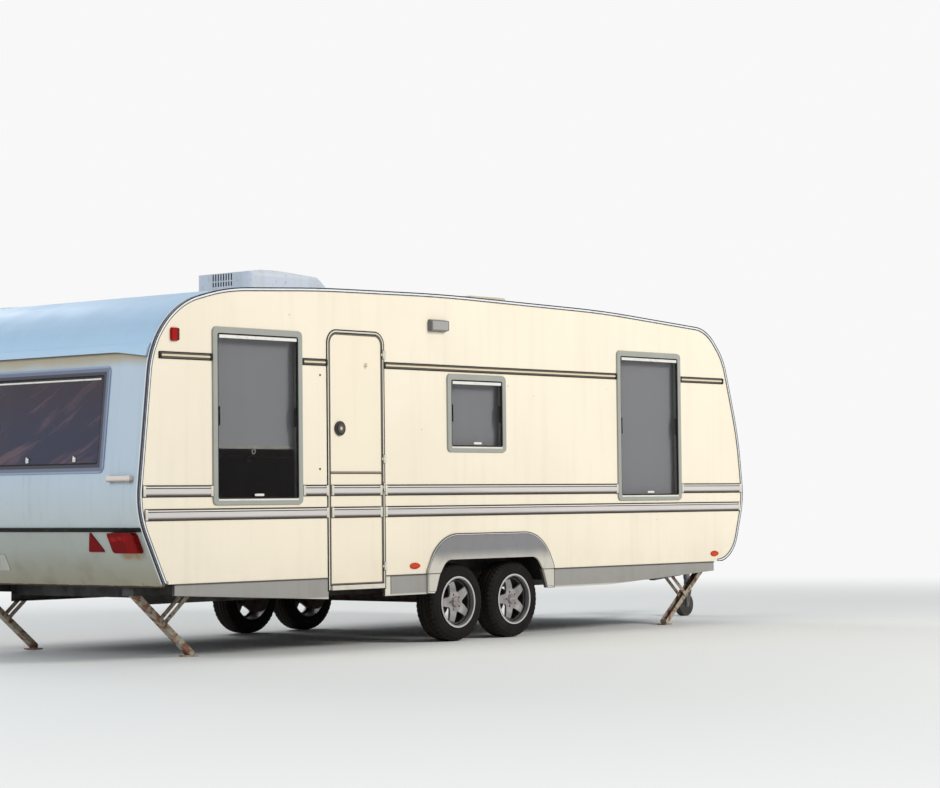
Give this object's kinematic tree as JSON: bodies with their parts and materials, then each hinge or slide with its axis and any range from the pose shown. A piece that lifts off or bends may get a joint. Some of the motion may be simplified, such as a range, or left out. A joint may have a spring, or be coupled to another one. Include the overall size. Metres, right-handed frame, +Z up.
{
  "type": "travel caravan",
  "caption": "Long tandem-axle touring caravan with a rounded shell, side door, framed windows, roof units, drawbar with jockey wheel and corner steadies.",
  "frame": {"origin": "floor level under the middle of the overall length and width", "axes": "+X forward to the hitch, +Y to the left side, +Z up"},
  "size_m": [8.1809, 2.56, 2.8002],
  "materials": {
    "side_cream": "satin, slightly hammered sheet, weathered",
    "shell_white": "satin moulded shell, rain streaked",
    "panel_white": "satin sheet, dirty towards the bottom",
    "skirt_grey": "matte, dusty",
    "trim_alloy": "dull extruded trim",
    "moulding_grey": "satin strips with a paler band",
    "frame_grey": "matte window frames",
    "tinted_pane": "tinted acrylic",
    "blind_cloth": "pale woven roller blind",
    "plywood": "bare plywood, dark underneath",
    "door_cream": "satin sheet",
    "door_trim": "dull extruded frame",
    "black_plastic": "matte black",
    "galvanised": "dull galvanised steel",
    "rusty_steel": "rusted steel",
    "drum_steel": "dark cast drums",
    "hitch_paint": "chipped dark paint",
    "tyre": "worn, dusty",
    "alloy_rim": "silver lacquer, brake dust",
    "jockey_rubber": "solid rubber",
    "lamp_red": "red lens",
    "lamp_body": "grey lamp case, milky lens",
    "reflector_amber": "amber moulded reflector",
    "seal_rubber": "black weathered rubber",
    "fitting_metal": "dull pressed metal",
    "handle_ivory": "yellowed moulded grip",
    "plate_white": "blank pressed plate",
    "unit_white": "satin moulded cover",
    "vent_smoke": "milky moulded dome"
  },
  "bodies": {
    "caravan": {"air_conditioner": "unit_white", "arch_trims": "skirt_grey", "awning_lamp": "lamp_body", "axles": "drum_steel", "blinds": "blind_cloth", "chassis": "galvanised", "door_frame": "door_trim", "drawbar_left": "galvanised", "drawbar_right": "galvanised", "edge_trims": "trim_alloy", "floor_panel": "plywood", "front_wall": "shell_white", "gas_locker": "shell_white", "grab_handles": "handle_ivory", "hitch": "hitch_paint", "jockey_tube": "galvanised", "mouldings": "moulding_grey", "number_plate": "plate_white", "rear_lamps": "lamp_red", "rear_lower_panel": "panel_white", "rear_wall": "panel_white", "roof_panel": "shell_white", "side_reflectors": "reflector_amber", "side_wall_left": "side_cream", "side_wall_right": "side_cream", "skirts": "skirt_grey", "steady_brackets": "galvanised", "vent_base": "unit_white", "waist_trim": "seal_rubber", "wheel_boxes": "galvanised", "window_fittings": "fitting_metal", "window_frames": "frame_grey", "window_panes": "tinted_pane", "window_seals": "seal_rubber"},
    "door_upper": {"door_leaf_upper": "door_cream", "door_handle": "black_plastic"},
    "door_lower": {"door_leaf_lower": "door_cream", "door_mouldings": "moulding_grey"},
    "locker_lid": {"locker_lid": "shell_white"},
    "vent_lid": {"vent_lid": "vent_smoke"},
    "jockey_slider": {"jockey_slider": "galvanised"},
    "jockey_castor": {"jockey_fork": "galvanised"},
    "jockey_wheel": {"jockey_wheel": "jockey_rubber"},
    "wheel_rear_right": {"tyre_rear_right": "tyre", "rim_rear_right": "alloy_rim"},
    "wheel_rear_left": {"tyre_rear_left": "tyre", "rim_rear_left": "alloy_rim"},
    "wheel_front_right": {"tyre_front_right": "tyre", "rim_front_right": "alloy_rim"},
    "wheel_front_left": {"tyre_front_left": "tyre", "rim_front_left": "alloy_rim"},
    "steady_leg_rear_right": {"steady_leg_rear_right": "rusty_steel"},
    "steady_brace_rear_right": {"steady_brace_rear_right": "rusty_steel"},
    "steady_leg_rear_left": {"steady_leg_rear_left": "rusty_steel"},
    "steady_brace_rear_left": {"steady_brace_rear_left": "rusty_steel"},
    "steady_leg_front_right": {"steady_leg_front_right": "rusty_steel"},
    "steady_brace_front_right": {"steady_brace_front_right": "rusty_steel"},
    "steady_leg_front_left": {"steady_leg_front_left": "rusty_steel"},
    "steady_brace_front_left": {"steady_brace_front_left": "rusty_steel"}
  },
  "joints": [
    {"name": "door_upper_hinge", "type": "hinge", "parent": "caravan", "child": "door_upper", "pos_m": [-1.712, -1.263, 1.744], "axis": [0, 0, 1], "range_deg": [0, 160]},
    {"name": "door_lower_hinge", "type": "hinge", "parent": "caravan", "child": "door_lower", "pos_m": [-1.712, -1.263, 0.8745], "axis": [0, 0, 1], "range_deg": [0, 160]},
    {"name": "locker_lid_hinge", "type": "hinge", "parent": "caravan", "child": "locker_lid", "pos_m": [2.83554, 0, 1.082], "axis": [0, -1, 0], "range_deg": [0, 85]},
    {"name": "vent_lid_hinge", "type": "hinge", "parent": "caravan", "child": "vent_lid", "pos_m": [0.148, -0.3, 2.64073], "axis": [0, -1, 0], "range_deg": [0, 60]},
    {"name": "wheel_rear_right_spin", "type": "hinge", "parent": "caravan", "child": "wheel_rear_right", "pos_m": [-0.83, -1.1025, 0.294], "axis": [0, 1, 0], "continuous": true},
    {"name": "wheel_rear_left_spin", "type": "hinge", "parent": "caravan", "child": "wheel_rear_left", "pos_m": [-0.83, 1.1025, 0.294], "axis": [0, 1, 0], "continuous": true},
    {"name": "wheel_front_right_spin", "type": "hinge", "parent": "caravan", "child": "wheel_front_right", "pos_m": [-0.172, -1.1025, 0.294], "axis": [0, 1, 0], "continuous": true},
    {"name": "wheel_front_left_spin", "type": "hinge", "parent": "caravan", "child": "wheel_front_left", "pos_m": [-0.172, 1.1025, 0.294], "axis": [0, 1, 0], "continuous": true},
    {"name": "steady_rear_right", "type": "hinge", "parent": "caravan", "child": "steady_leg_rear_right", "pos_m": [-3.765, -0.83, 0.455], "axis": [0, -1, 0], "range_deg": [0, 31.5]},
    {"name": "steady_knee_rear_right", "type": "hinge", "parent": "steady_leg_rear_right", "child": "steady_brace_rear_right", "pos_m": [-3.50683, -0.83, 0.2415], "axis": [0, -1, 0], "range_deg": [-63, 0]},
    {"name": "steady_rear_left", "type": "hinge", "parent": "caravan", "child": "steady_leg_rear_left", "pos_m": [-3.765, 0.83, 0.455], "axis": [0, -1, 0], "range_deg": [0, 31.5]},
    {"name": "steady_knee_rear_left", "type": "hinge", "parent": "steady_leg_rear_left", "child": "steady_brace_rear_left", "pos_m": [-3.50683, 0.83, 0.2415], "axis": [0, -1, 0], "range_deg": [-63, 0]},
    {"name": "steady_front_right", "type": "hinge", "parent": "caravan", "child": "steady_leg_front_right", "pos_m": [2.48, -1.05, 0.455], "axis": [0, 1, 0], "range_deg": [0, 31.5]},
    {"name": "steady_knee_front_right", "type": "hinge", "parent": "steady_leg_front_right", "child": "steady_brace_front_right", "pos_m": [2.22183, -1.05, 0.2415], "axis": [0, 1, 0], "range_deg": [-63, 0]},
    {"name": "steady_front_left", "type": "hinge", "parent": "caravan", "child": "steady_leg_front_left", "pos_m": [2.48, 1.05, 0.455], "axis": [0, 1, 0], "range_deg": [0, 31.5]},
    {"name": "steady_knee_front_left", "type": "hinge", "parent": "steady_leg_front_left", "child": "steady_brace_front_left", "pos_m": [2.22183, 1.05, 0.2415], "axis": [0, 1, 0], "range_deg": [-63, 0]},
    {"name": "jockey_slide", "type": "slide", "parent": "caravan", "child": "jockey_slider", "axis": [0, 0, 1], "range_m": [0, 0.09]},
    {"name": "jockey_swivel", "type": "hinge", "parent": "jockey_slider", "child": "jockey_castor", "pos_m": [3.43, -0.215, 0.226], "axis": [0, 0, 1], "continuous": true},
    {"name": "jockey_spin", "type": "hinge", "parent": "jockey_castor", "child": "jockey_wheel", "pos_m": [3.385, -0.215, 0.1], "axis": [0, 1, 0], "continuous": true}
  ],
  "couplings": [
    {"joint": "steady_knee_rear_right", "follows": "steady_rear_right", "ratio": -2},
    {"joint": "steady_knee_rear_left", "follows": "steady_rear_left", "ratio": -2},
    {"joint": "steady_knee_front_right", "follows": "steady_front_right", "ratio": -2},
    {"joint": "steady_knee_front_left", "follows": "steady_front_left", "ratio": -2}
  ]
}
